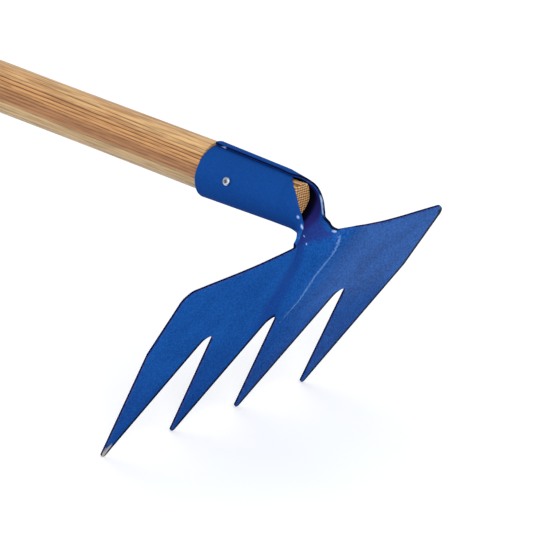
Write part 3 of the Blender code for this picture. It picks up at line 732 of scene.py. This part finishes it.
def paint_marks(s, points, traits):
    """Marks on the paint, 0 to 1 by distance. On the front one tip is ground bare, a painted highlight runs
    along the channel's right crease, painted shade lies down its left side, a painted sheen grows towards the
    right, and the paint changes down the tines. Painted glints lie round the neck and the lap. The painted
    shade along the edges leaves out the neck's near side, and its far side has a painted shade line of its
    own, thin and low on the front and broad on the back."""
    front = traits["back"] < 0.5
    y, drop = points[:, 1], (points[:, [0, 2]] - shoulder_point(s)) @ blade_axes(s)[0]
    neck = ease((points[:, 0] + s.flap_setback) / 0.003) * (drop < 0.02)
    neck = neck * (1 - ease((np.abs(y) - s.neck_width / 2 + 0.001) / 0.002))
    # Painted shade lines along the neck's far edge: broad on the back, thin and low on the front
    broad, thin = [ease((reach - traits["edge_distance"]) / fade) for reach, fade in (BACK_LINE, FRONT_LINE)]
    thin = thin * front * ease((-0.0060 - points[:, 2]) / 0.0025)
    outline = np.maximum(broad * traits["back"], thin) * neck * (y > 0)
    beside, below = y + s.outer_tip + 0.0003, drop - s.blade_length + 0.004
    ground = np.clip(1.2 - np.hypot(beside / BARE_PATCH[0], below / BARE_PATCH[1]), 0, 1)
    # Painted highlight along the channel's right crease, and painted shade in a band down its left side
    low, line, middle = np.array(CHANNEL_LIGHT_AND_SHADE).T
    fade = np.clip((drop - low[0]) / 0.004, 0, 1) * np.clip((low[-1] - drop) / 0.022, 0, 1)
    off = y - glide(drop, low, line)
    crease_light = np.clip(1 - np.abs(off) / CREASE_LIGHT_WIDTH, 0, 1) * fade
    shade_band = ease(1.4 - np.abs(y - glide(drop, low, middle)) / SHADE_BAND_WIDTH) * fade
    # Painted glints along short runs round the neck and the lap
    glints = np.zeros(len(points))
    for start, end, size in PAINTED_GLINTS:
        along = np.array(end) - start
        nearest = np.clip((points - start) @ along / (along @ along), 0, 1)[:, None] * along + start
        glints = np.maximum(glints, 1 - np.linalg.norm(points - nearest, axis=1) / size)
    # Painted sheen, paler towards the right and less down the tines, and a painted light zone beside the
    # crease
    paler = ease((y - 0.002) / 0.054) * (1 - 0.6 * ease((drop - TINES_START) / 0.030))
    paler = np.maximum(paler, 0.4 * fade * np.clip(1 - np.abs(off - 0.002) / 0.007, 0, 1))
    marks = {"ground_off": ground, "painted_crease_light": crease_light, "painted_shade_band": shade_band, "paler": paler,
             "tines": ease((drop - TINES_START) / 0.060)}
    return {**{label: mark * front for label, mark in marks.items()}, "glints": np.clip(glints * 2, 0, 1),
            "lined": 1 - neck * (y < 0), "outline": outline}


def added(name, data):
    """An object with this data, in the scene."""
    made = bpy.data.objects.new(name, data)
    bpy.context.scene.collection.objects.link(made)
    return made


def new_piece(name, points, faces, finish, attributes=(), sharp=52):
    """A mesh object at the origin from points of the tool's own frame, set down to where the tool rests, with
    its attributes, and shaded smooth below the sharp angle in degrees."""
    mesh = bpy.data.meshes.new(name)
    mesh.from_pydata(placed(points, resting_place()).tolist(), [], faces)
    for label, values in attributes:
        layer = mesh.attributes.new(label, "FLOAT", "POINT")
        layer.data.foreach_set("value", np.asarray(values, np.float32))
    mesh.materials.append(finish)
    mesh.shade_smooth()
    mesh.set_sharp_from_angle(angle=math.radians(sharp))
    mesh.update()
    piece = added(name, mesh)
    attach(piece, "root")
    return piece


class Net:
    """The nodes of a material or a group, with short calls that add a node and return what it gives."""

    def __init__(self, tree):
        self.nodes = tree.nodes
        self.links = tree.links

    def feed(self, node, inputs):
        """Give a node its inputs: sockets are linked, and values are set, colours as red, green and blue."""
        for key, value in dict(inputs).items():
            if isinstance(value, bpy.types.NodeSocket):
                self.links.new(value, node.inputs[key])
            else:
                node.inputs[key].default_value = (*value, 1.0) if node.inputs[key].type == "RGBA" else value

    def put(self, kind, inputs=(), **settings):
        """A node with its settings and its inputs."""
        node = self.nodes.new("ShaderNode" + kind)
        for key, value in settings.items():
            setattr(node, key, value)
        self.feed(node, inputs)
        return node

    def figure(self, operation, *values):
        """Result of a sum, in which values from the third on are taken in one after the other."""
        made = self.put("Math", enumerate(values[:2]), operation=operation).outputs[0]
        return self.figure(operation, made, *values[2:]) if len(values) > 2 else made

    def times(self, *values):
        """Product of the values."""
        return self.figure("MULTIPLY", *values)

    def most(self, *values):
        """Largest of the values."""
        return self.figure("MAXIMUM", *values)

    def grow(self, value, factor, base):
        """Value times factor, plus base."""
        return self.put("Math", enumerate((value, factor, base)), operation="MULTIPLY_ADD").outputs[0]

    def ranged(self, value, low, high, to_low=0.0, to_high=1.0, kind="SMOOTHSTEP"):
        """A value carried from one range to another, smoothly or as the kind says."""
        ends = enumerate((value, low, high, to_low, to_high))
        return self.put("MapRange", ends, interpolation_type=kind).outputs[0]

    def mix(self, factor, first, second):
        """Colour between two, by a factor."""
        return self.put("Mix", {0: factor, 6: first, 7: second}, data_type="RGBA").outputs[2]

    def attribute(self, label):
        """Value of an attribute on the mesh."""
        return self.put("Attribute", attribute_name=label).outputs["Fac"]

    def mapped(self, vector, **inputs):
        """A vector moved, turned or scaled."""
        return self.put("Mapping", {"Vector": vector, **inputs}).outputs[0]

    def noise(self, vector, scale, detail, **inputs):
        """Noise on a vector."""
        inputs = {"Vector": vector, "Scale": scale, "Detail": detail, **inputs}
        return self.put("TexNoise", inputs).outputs["Fac"]

    def bump(self, height, strength, distance):
        """Normal of a surface with this height."""
        return self.put("Bump", {"Height": height, "Strength": strength, "Distance": distance}).outputs[0]

    def place(self):
        """Place on the object, in its own frame."""
        return self.put("TexCoord").outputs["Object"]

    def grain(self, fine, broad):
        """Outputs of the surface grain with these two scales."""
        inputs = {"Vector": self.place(), "Fine Scale": fine, "Broad Scale": broad}
        return self.put("Group", inputs, node_tree=grain_group()).outputs


def blank_material(name):
    """A material, its nodes and its shader."""
    made = bpy.data.materials.new(name)
    made.use_nodes = True
    net = Net(made.node_tree)
    return made, net, net.nodes["Principled BSDF"]


def grain_group():
    """Node group: two sizes of noise on a vector, as a fine value, a broad value and a bump height."""
    group = bpy.data.node_groups.get("surface grain")
    if group:
        return group
    group = bpy.data.node_groups.new("surface grain", "ShaderNodeTree")
    group.interface.new_socket("Vector", in_out="INPUT", socket_type="NodeSocketVector")
    for label in ("Fine Scale", "Broad Scale"):
        group.interface.new_socket(label, in_out="INPUT", socket_type="NodeSocketFloat")
    for label in ("Fine", "Broad", "Height"):
        group.interface.new_socket(label, in_out="OUTPUT", socket_type="NodeSocketFloat")
    net = Net(group)
    place, fine_scale, broad_scale = net.nodes.new("NodeGroupInput").outputs[:3]
    fine = net.noise(place, fine_scale, 2.0, Roughness=0.6)
    broad = net.noise(place, broad_scale, 3.0, Roughness=0.55)
    net.feed(net.nodes.new("NodeGroupOutput"), enumerate((fine, broad, net.grow(broad, 0.35, fine))))
    return group


def paint_material(s, r):
    """Blue gloss paint: fine flecks and broad clouds in its colour, even on the socket, darker down the tines
    and ground off where the marks say so; painted shade in a band down the channel, in the hollow and behind
    the handle's end, along the cut edges and in a ring round the rivet; painted highlights on the channel's
    crease, in glints round the neck and as a sheen towards the right; and glossier where it gathered on the
    edges."""
    made, net, shader = blank_material("blue gloss paint")
    grain = net.grain(*PAINT_GRAIN)
    fine, broad = grain["Fine"], grain["Broad"]
    near, back, rolled, hollow, ground, hand, crease_light, shade_band, paler, glints, tines, lined, outline = [
        net.attribute(label) for label in (
            "edge_distance", "back", "rolled", "hollow", "ground_off", "right_edge", "painted_crease_light",
            "painted_shade_band", "paler", "glints", "tines", "lined", "outline")]

    # Flecks and clouds, with more contrast where the painted sheen lies
    light = net.grow(net.ranged(fine, 0.34, 0.68), 0.55, net.times(net.ranged(broad, 0.32, 0.68), 0.18))
    light = net.grow(net.figure("SUBTRACT", light, 0.37), net.grow(paler, 0.75, 0.70), 0.46)
    blue = net.mix(net.grow(tines, -0.12, light), s.paint_dark, s.paint)

    # Painted shade along the cut edges, broader on right-hand ones, with the neck's painted shade line and a
    # painted shadow ring round the rivet
    side = net.times(net.ranged(near, 0.00030, 0.00005), lined)
    right_edge_shade = net.times(hand, net.ranged(near, 0.0044, 0.0024))
    # Painted shadow ring round the rivet on the socket
    bore = (resting_place() @ rivet_place(r)).inverted()
    away = net.mapped(net.place(), Location=bore.to_translation(), Rotation=bore.to_euler(), Scale=(1, 1, 0))
    away = net.put("VectorMath", {0: away}, operation="LENGTH").outputs[1]
    ring = net.times(rolled, net.ranged(away, 0.0036, 0.0026, 0.0, 0.75))
    rim = net.most(net.times(side, net.ranged(back, 0.14, 0.36)), right_edge_shade, outline, ring)
    clear = net.figure("SUBTRACT", 1.0, rim)
    patch = net.times(net.ranged(net.grow(fine, 1.2, ground), 0.85, 1.35), clear)

    for amount, tint in (
            # Darker towards the tine tips
            (net.times(tines, 0.10), s.shade_purple),
            (net.times(rolled, 0.78), s.paint_smooth),
            # Painted shade in a band down the channel's left side
            (net.times(shade_band, 0.50), s.edge_and_shade_violet),
            # Painted sheen towards the right
            (net.times(paler, 0.06), s.painted_highlight),
            # Painted highlight along the channel's right crease
            (net.ranged(net.grow(fine, 1.6, crease_light), 1.10, 1.80, 0.0, 0.75), s.painted_highlight),
            # Painted shade in the hollow, and painted black shadow behind the handle's end
            (net.ranged(hollow, 0.02, 0.40), s.shade_purple),
            (net.ranged(hollow, 0.72, 1.03), s.shadow_black),
            (side, s.edge_and_shade_violet),
            # Painted shade along the cut edges and painted shadow round the rivet
            (rim, s.edge_shade),
            # Painted glints round the neck and the lap
            (glints, s.painted_glint),
            (patch, s.bare_steel)):
        blue = net.mix(amount, blue, tint)
    bead = net.times(net.ranged(near, 0.00035, 0.00005, 0.0, 0.90), net.ranged(back, 0.24, 0.06),
                     net.ranged(fine, 0.40, 0.62), clear)
    net.feed(shader, {
        "Base Color": blue,
        "Roughness": net.grow(patch, 0.2, net.ranged(broad, 0.2, 0.8, 0.30, 0.40)),
        "Metallic": net.times(patch, 0.35),
        "Specular IOR Level": 0.0003,
        "Coat Weight": net.grow(rolled, 0.02, net.grow(paler, 0.10, bead)),
        "Coat Roughness": 0.16,
        "Normal": net.bump(grain["Height"], 0.14, 0.0006)})
    return made


def wood_material(s):
    """Ash: bands of colour up the shaft with patches in the light one, growth rings round a far pith as thin
    dark pore lines, fine fibres, and a worked front end with a hatch and a painted highlight on a ridge."""
    made, net, shader = blank_material("oiled ash")
    home = resting_place().inverted()
    moved = net.mapped(net.place(), Location=home.to_translation(), Rotation=home.to_euler())
    along, across, up = net.put("SeparateXYZ", {0: moved}).outputs

    def fibrous(stretch, scale, detail, **inputs):
        """Noise drawn out along the handle."""
        return net.noise(net.mapped(moved, Scale=(stretch, 1, 1)), scale, detail, **inputs)

    # Rings: height across them, bent round the pith, gives the ring's number and the place in it
    lift = net.grow(up, RING_ACROSS[1], net.times(across, RING_ACROSS[0]))
    lift = net.grow(along, RING_SLOPE, lift)
    lift = net.grow(fibrous(0.035, 70.0, 2.0), RING_SWAY, lift)
    depth = net.grow(up, -RING_ACROSS[0], net.times(across, RING_ACROSS[1]))
    count = net.times(net.grow(net.times(depth, depth), RING_BOW, lift), RING_COUNT)
    phase = net.figure("FRACT", count)
    strength = net.put("TexWhiteNoise", {"W": net.figure("FLOOR", count)}, noise_dimensions="1D").outputs[0]
    pores = fibrous(0.045, 1500.0, 2.0, Roughness=0.7)
    fibres = fibrous(0.06, 620.0, 3.0, Roughness=0.65)

    # Bands of colour from the lower to the upper side, lighter above partly as painted light
    height = net.ranged(lift, -0.0150, 0.0180, kind="LINEAR")
    body = net.put("ValToRGB", {0: height})
    ramp = body.color_ramp
    ramp.interpolation = "EASE"
    stops = [(place, getattr(s, label)) for label, *places in WOOD_BANDS for place in places]
    while len(ramp.elements) < len(stops):
        ramp.elements.new(0.5)
    for element, (position, tint) in zip(ramp.elements, stops):
        element.position = position
        element.color = (*tint, 1.0)
    patches = net.times(net.ranged(fibrous(0.16, 210.0, 2.0, Distortion=0.6), 0.42, 0.68, 0.0, 0.75),
                        net.ranged(height, 0.50, 0.75))
    tinted = net.mix(patches, body.outputs[0], s.wood_warm)

    # Pore lines, their soft side and the fibres, weaker on the upper and the lower side
    lined = net.times(net.ranged(height, 0.12, 0.30, 0.25, 1.0), net.ranged(height, 0.80, 0.62, 0.18, 1.0),
                      net.ranged(strength, 0.0, 0.6, 0.50, 1.15))
    line = net.times(net.ranged(phase, 0.42, 0.14), net.ranged(phase, 0.0, 0.06),
                     net.ranged(pores, 0.30, 0.62, 0.35, 1.0), lined)
    shade = net.times(net.ranged(phase, 1.0, 0.25), 0.14, lined)
    fibre = net.times(net.ranged(fibres, 0.60, 0.38), 0.40)
    dark = net.figure("ADD", line, net.figure("ADD", shade, fibre))
    side = net.mix(net.figure("MINIMUM", dark, 0.92), tinted, s.wood_line)

    # Front end and the part of its side that is worked: rows crossed by pegs, and a painted highlight on a
    # ridge
    rows = {"Vector": moved, "Scale": 210.0, "Distortion": 3.0, "Detail": 2.0, "Detail Scale": 1.5}
    rows = net.put("TexWave", rows, bands_direction="Z").outputs["Fac"]
    pegs = {"Vector": moved, "Scale": 140.0, "Distortion": 2.0}
    pegs = net.put("TexWave", pegs, bands_direction="Y").outputs["Fac"]
    end = net.mix(net.ranged(net.grow(pegs, 0.7, rows), 0.50, 1.35), s.wood_line, s.wood_end)
    bared = net.times(net.ranged(along, -0.0125, -0.0110), net.ranged(across, 0.0052, 0.0044),
                      net.ranged(up, 0.0, 0.001))
    ridge = net.times(bared, net.ranged(across, 0.0022, 0.0036), net.ranged(along, -0.0002, -0.0006), 0.8)
    tint = net.mix(net.most(net.ranged(along, -0.0006, -0.0002), bared), side, end)
    relief = net.figure("SUBTRACT", fibres, net.times(line, 0.9))
    net.feed(shader, {
        "Base Color": net.mix(ridge, tint, s.wood_highlight),
        "Roughness": net.ranged(dark, 0.0, 0.9, 0.42, 0.62),
        "Normal": net.bump(relief, 0.22, 0.0005)})
    return made


def steel_material(s):
    """Bare steel of the rivet: small hammer marks in its brightness and its surface, and painted shade in the
    dimple.
    """
    made, net, shader = blank_material("rivet steel")
    grain = net.grain(*STEEL_GRAIN)
    bright = net.mix(net.ranged(grain["Broad"], 0.3, 0.7), [0.6 * c for c in s.steel], s.steel)
    net.feed(shader, {
        # Painted shade in the set head's dimple
        "Base Color": net.mix(net.attribute("dimple"), bright, [0.12 * c for c in s.steel]),
        "Roughness": net.ranged(grain["Fine"], 0.2, 0.8, 0.22, 0.42),
        "Metallic": 1.0,
        "Normal": net.bump(grain["Height"], 0.25, 0.0003)})
    return made


class CLAW_OT_head(bpy.types.Operator):
    """Make the painted head: rolled socket, bent neck and four-tine blade in one sheet"""

    bl_idname = "claw.make_head"
    bl_label = "Make Head"

    def execute(self, context):
        s = context.scene.claw_head
        points, faces, traits = shell(head_grids(s), s.sheet - THINNER)
        traits.update(paint_marks(s, points, traits))
        finish = paint_material(s, context.scene.claw_rivet)
        head = new_piece("painted_head", points, faces.tolist(), finish, traits.items())
        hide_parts("head")
        return {"FINISHED"}


def handle_grid(s, h):
    """Rings of the handle, each a radius round the socket's axis by angle: the shaft's circle about its
    raised centre, kept inside the tapered fit of the socket and the hollow below the tucked flap."""
    angle = np.radians(np.linspace(-180, 180, HANDLE_POINTS + 1)[:-1])
    mouth = -s.socket_length - s.clearance
    spigot = h.spigot_diameter / 2
    seat = -h.spigot_length - h.spigot_shoulder
    bore = [float(tube_radius(s, x)) - s.sheet / 2 - s.clearance for x in (seat, mouth)]
    places, sizes = np.array([(mouth, bore[1]), (seat, bore[0]), (-h.spigot_length, spigot),
                              (-h.end_chamfer, spigot), (0.0, spigot - h.end_chamfer)]).T
    inside = np.unique(np.concatenate([places, np.linspace(mouth, 0, SEATED_ROWS)]))[::-1]
    worked = glide(np.degrees(angle), *np.array(END_SHAPE, float).T) - 1
    fit = np.interp(inside, places, sizes)[:, None]
    fit = fit * (1 + worked * ease((inside - seat) / h.spigot_shoulder)[:, None])
    lapped = (angle < 0) | (angle > math.radians(180 - s.underlap_angle - 2.3))
    hollow = (tube_radius(s, inside) - s.sheet / 2 - s.clearance)[:, None]
    hollow = hollow + (s.sheet + s.clearance) * np.cos(angle)
    hollow = np.where(lapped & (np.abs(angle) > math.pi / 2), hollow, 1.0)
    full = h.swell_diameter / 2
    shaft = np.sqrt(full ** 2 - (h.rise * np.sin(angle)) ** 2) - h.rise * np.cos(angle)
    radius = np.minimum(np.minimum(shaft, fit), hollow)
    seated = np.stack([np.broadcast_to(inside[:, None], radius.shape), radius * np.sin(angle),
                       -radius * np.cos(angle)], -1)
    front = seated[:1] * np.array(FRONT_RINGS)[:, None, None] * [0, 1, 1]
    slim = h.diameter / 2
    run_out = np.concatenate([[0.0, 0.0004, 0.004, 0.012], np.linspace(0.02, h.swell_length, SWELL_ROWS)])
    far = np.linspace(mouth - h.swell_length, -h.length + h.butt_radius, SHAFT_ROWS)[1:]
    turn = np.radians(np.linspace(0, 90, BUTT_ROWS))[1:]
    flat = (slim - h.butt_radius) * np.array(BUTT_RINGS)
    x = np.concatenate([mouth - run_out, far, -h.length + h.butt_radius * (1 - np.sin(turn)),
                        np.full(len(flat), -h.length)])[:, None]
    size = np.concatenate([full + (slim - full) * ease(run_out / h.swell_length), np.full(len(far), slim),
                           slim - h.butt_radius * (1 - np.cos(turn)), flat])[:, None]
    behind = np.stack([np.broadcast_to(x, (len(x), HANDLE_POINTS)), size * np.sin(angle),
                       h.rise - size * np.cos(angle)], -1)
    return np.concatenate([front, seated, behind])


def wrapped(grid):
    """Points and faces of rings that close on themselves, with a face over each end."""
    count, width = grid.shape[:2]
    index = np.arange(count * width).reshape(count, width)
    after = np.roll(index, -1, axis=1)
    faces = np.stack([index[:-1], index[1:], after[1:], after[:-1]], -1).reshape(-1, 4)
    return grid.reshape(-1, 3), faces.tolist() + [index[0].tolist(), index[-1][::-1].tolist()]


class CLAW_OT_handle(bpy.types.Operator):
    """Make the long ash handle, tapered into the socket and rounded at its butt"""

    bl_idname = "claw.make_handle"
    bl_label = "Make Handle"

    def execute(self, context):
        h = context.scene.claw_handle
        points, faces = wrapped(handle_grid(context.scene.claw_head, h))
        handle = new_piece("ash_handle", points, faces, wood_material(h), sharp=40)
        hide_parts("handle")
        return {"FINISHED"}


def rivet_grid(s, r):
    """Rings of the rivet: a rounded head with a dimple, the shank, and a plain domed head."""
    seat = float(tube_radius(s, -r.setback)) + s.sheet / 2 + s.clearance
    rim = r.head_diameter / 2
    dimple = r.dimple_diameter / 2
    turn = np.radians(np.linspace(90, 0, DOME_ROWS))
    low = np.radians(np.linspace(0, 90, DIMPLE_ROWS))
    rows = [(dimple * math.sin(a) * 0.98, seat + r.head_height - r.dimple_depth * math.cos(a)) for a in low]
    rows += [(dimple + (rim - dimple) * math.cos(a), seat + r.head_height * math.sin(a)) for a in turn]
    rows += [(r.shank_diameter / 2, seat), (r.shank_diameter / 2, -seat)]
    rows += [(rim * math.cos(a), -seat - r.head_height * math.sin(a)) for a in turn[::-1]]
    radius, height = np.array(rows).T[..., None]
    radius[[0, -1]] = LAST_RING
    angle = np.linspace(0, 2 * math.pi, RIVET_POINTS + 1)[:-1]
    return np.stack([radius * np.cos(angle), radius * np.sin(angle),
                     np.broadcast_to(height, (len(rows), RIVET_POINTS))], -1)


class CLAW_OT_rivet(bpy.types.Operator):
    """Make the rivet through the socket and the handle"""

    bl_idname = "claw.make_rivet"
    bl_label = "Make Rivet"

    def execute(self, context):
        r = context.scene.claw_rivet
        points, faces = wrapped(rivet_grid(context.scene.claw_head, r))
        # Mask of the painted shade in the set head's dimple
        out = np.hypot(points[:, 0], points[:, 1]) / r.head_diameter * 2
        dimple = np.clip(1.5 - 2.4 * out, 0, 1) * (points[:, 2] > 0)
        points = placed(points, rivet_place(r))
        rivet = new_piece("set_rivet", points, faces, steel_material(r), [("dimple", dimple)], 40)
        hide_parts("rivet")
        return {"FINISHED"}


def floor_material(g):
    """Pale matt floor: lit as it is, with a little white added where the camera or a reflection sees it."""
    made, net, shader = blank_material("pale floor")
    seen = net.put("LightPath").outputs
    seen = net.most(seen["Is Camera Ray"], seen["Is Glossy Ray"], seen["Is Transmission Ray"])
    net.feed(shader, {
        "Base Color": g.floor,
        "Roughness": 0.9,
        "Specular IOR Level": 0.0,
        "Emission Color": (1, 1, 1),
        "Emission Strength": net.times(seen, FLOOR_GLOW)})
    return made


class CLAW_OT_stage(bpy.types.Operator):
    """Set the pale floor, the soft lights and the camera at the photograph's angle"""

    bl_idname = "claw.set_stage"
    bl_label = "Set Stage"

    def execute(self, context):
        g = context.scene.claw_stage
        mesh = bpy.data.meshes.new("floor")
        corners = ((-1, -1), (1, -1), (1, 1), (-1, 1))
        corners = [(FLOOR_HALF * x, FLOOR_HALF * y, FLOOR_LEVEL) for x, y in corners]
        mesh.from_pydata(corners, [], [(0, 1, 2, 3)])
        mesh.materials.append(floor_material(g))
        floor = added("floor", mesh)
        world = bpy.data.worlds.new("soft sky")
        world.use_nodes = True
        sky = {"Color": (0.95, 0.97, 1.0), "Strength": g.sky}
        Net(world.node_tree).feed(world.node_tree.nodes["Background"], sky)
        context.scene.world = world
        light = bpy.data.lights.new("main lamp", "AREA")
        light.shape = "RECTANGLE"
        light.energy = g.lamp
        light.size = light.size_y = LAMP_SIZE
        lamp = added("main lamp", light)
        lamp.location = Vector(HEAD_PLACE) + Vector(LAMP_PLACE)
        lamp.rotation_euler = (Vector(HEAD_PLACE) - lamp.location).to_track_quat("-Z", "Y").to_euler()
        right = Vector(CAMERA_RIGHT).normalized()
        up = Vector(CAMERA_UP)
        up = (up - up.dot(right) * right).normalized()
        toward = right.cross(up)
        centre = right * CAMERA_CENTRE[0] + up * CAMERA_CENTRE[1]
        camera = added("camera", bpy.data.cameras.new("camera"))
        camera.data.lens = CAMERA_LENS
        camera.data.sensor_width = 36.0
        camera.data.clip_end = 100.0
        turn = Matrix((right, up, toward)).transposed().to_4x4()
        camera.matrix_world = resting_place() @ Matrix.Translation(centre + toward * CAMERA_DISTANCE) @ turn
        context.scene.camera = camera
        context.scene.view_settings.view_transform = "Standard"
        return {"FINISHED"}


class CLAW_PT_panel(bpy.types.Panel):
    """Lists the pieces of the claw cultivator and the stage"""

    bl_idname = "CLAW_PT_panel"
    bl_label = "Claw Cultivator"
    bl_space_type = "VIEW_3D"
    bl_region_type = "UI"
    bl_category = "Claw Cultivator"

    def draw(self, context):
        for maker in OPERATORS:
            self.layout.operator(maker.bl_idname)
        for label in GROUPS:
            group = getattr(context.scene, label)
            box = self.layout.box()
            for prop in group.bl_rna.properties:
                key = prop.identifier
                if key not in {"rna_type", "name"}:
                    box.prop(group, key, text=key.replace("_", " ").capitalize())


OPERATORS = (CLAW_OT_head, CLAW_OT_handle, CLAW_OT_rivet, CLAW_OT_stage)
GROUPS = {"claw_head": CLAW_PG_head, "claw_handle": CLAW_PG_handle, "claw_rivet": CLAW_PG_rivet,
          "claw_stage": CLAW_PG_stage}


def register():
    """Register the property groups, the operators and the panel."""
    for label, group in GROUPS.items():
        bpy.utils.register_class(group)
        setattr(bpy.types.Scene, label, bpy.props.PointerProperty(type=group))
    for maker in OPERATORS:
        bpy.utils.register_class(maker)
    bpy.utils.register_class(CLAW_PT_panel)


def unregister():
    """Take them out again."""
    bpy.utils.unregister_class(CLAW_PT_panel)
    for maker in reversed(OPERATORS):
        bpy.utils.unregister_class(maker)
    for label, group in GROUPS.items():
        delattr(bpy.types.Scene, label)
        bpy.utils.unregister_class(group)


def main():
    """Make every piece and the stage."""
    register()
    bpy.ops.claw.make_head()
    bpy.ops.claw.make_handle()
    bpy.ops.claw.make_rivet()
    bpy.ops.claw.set_stage()
    bpy.context.view_layer.update()


if __name__ == "__main__":
    main()
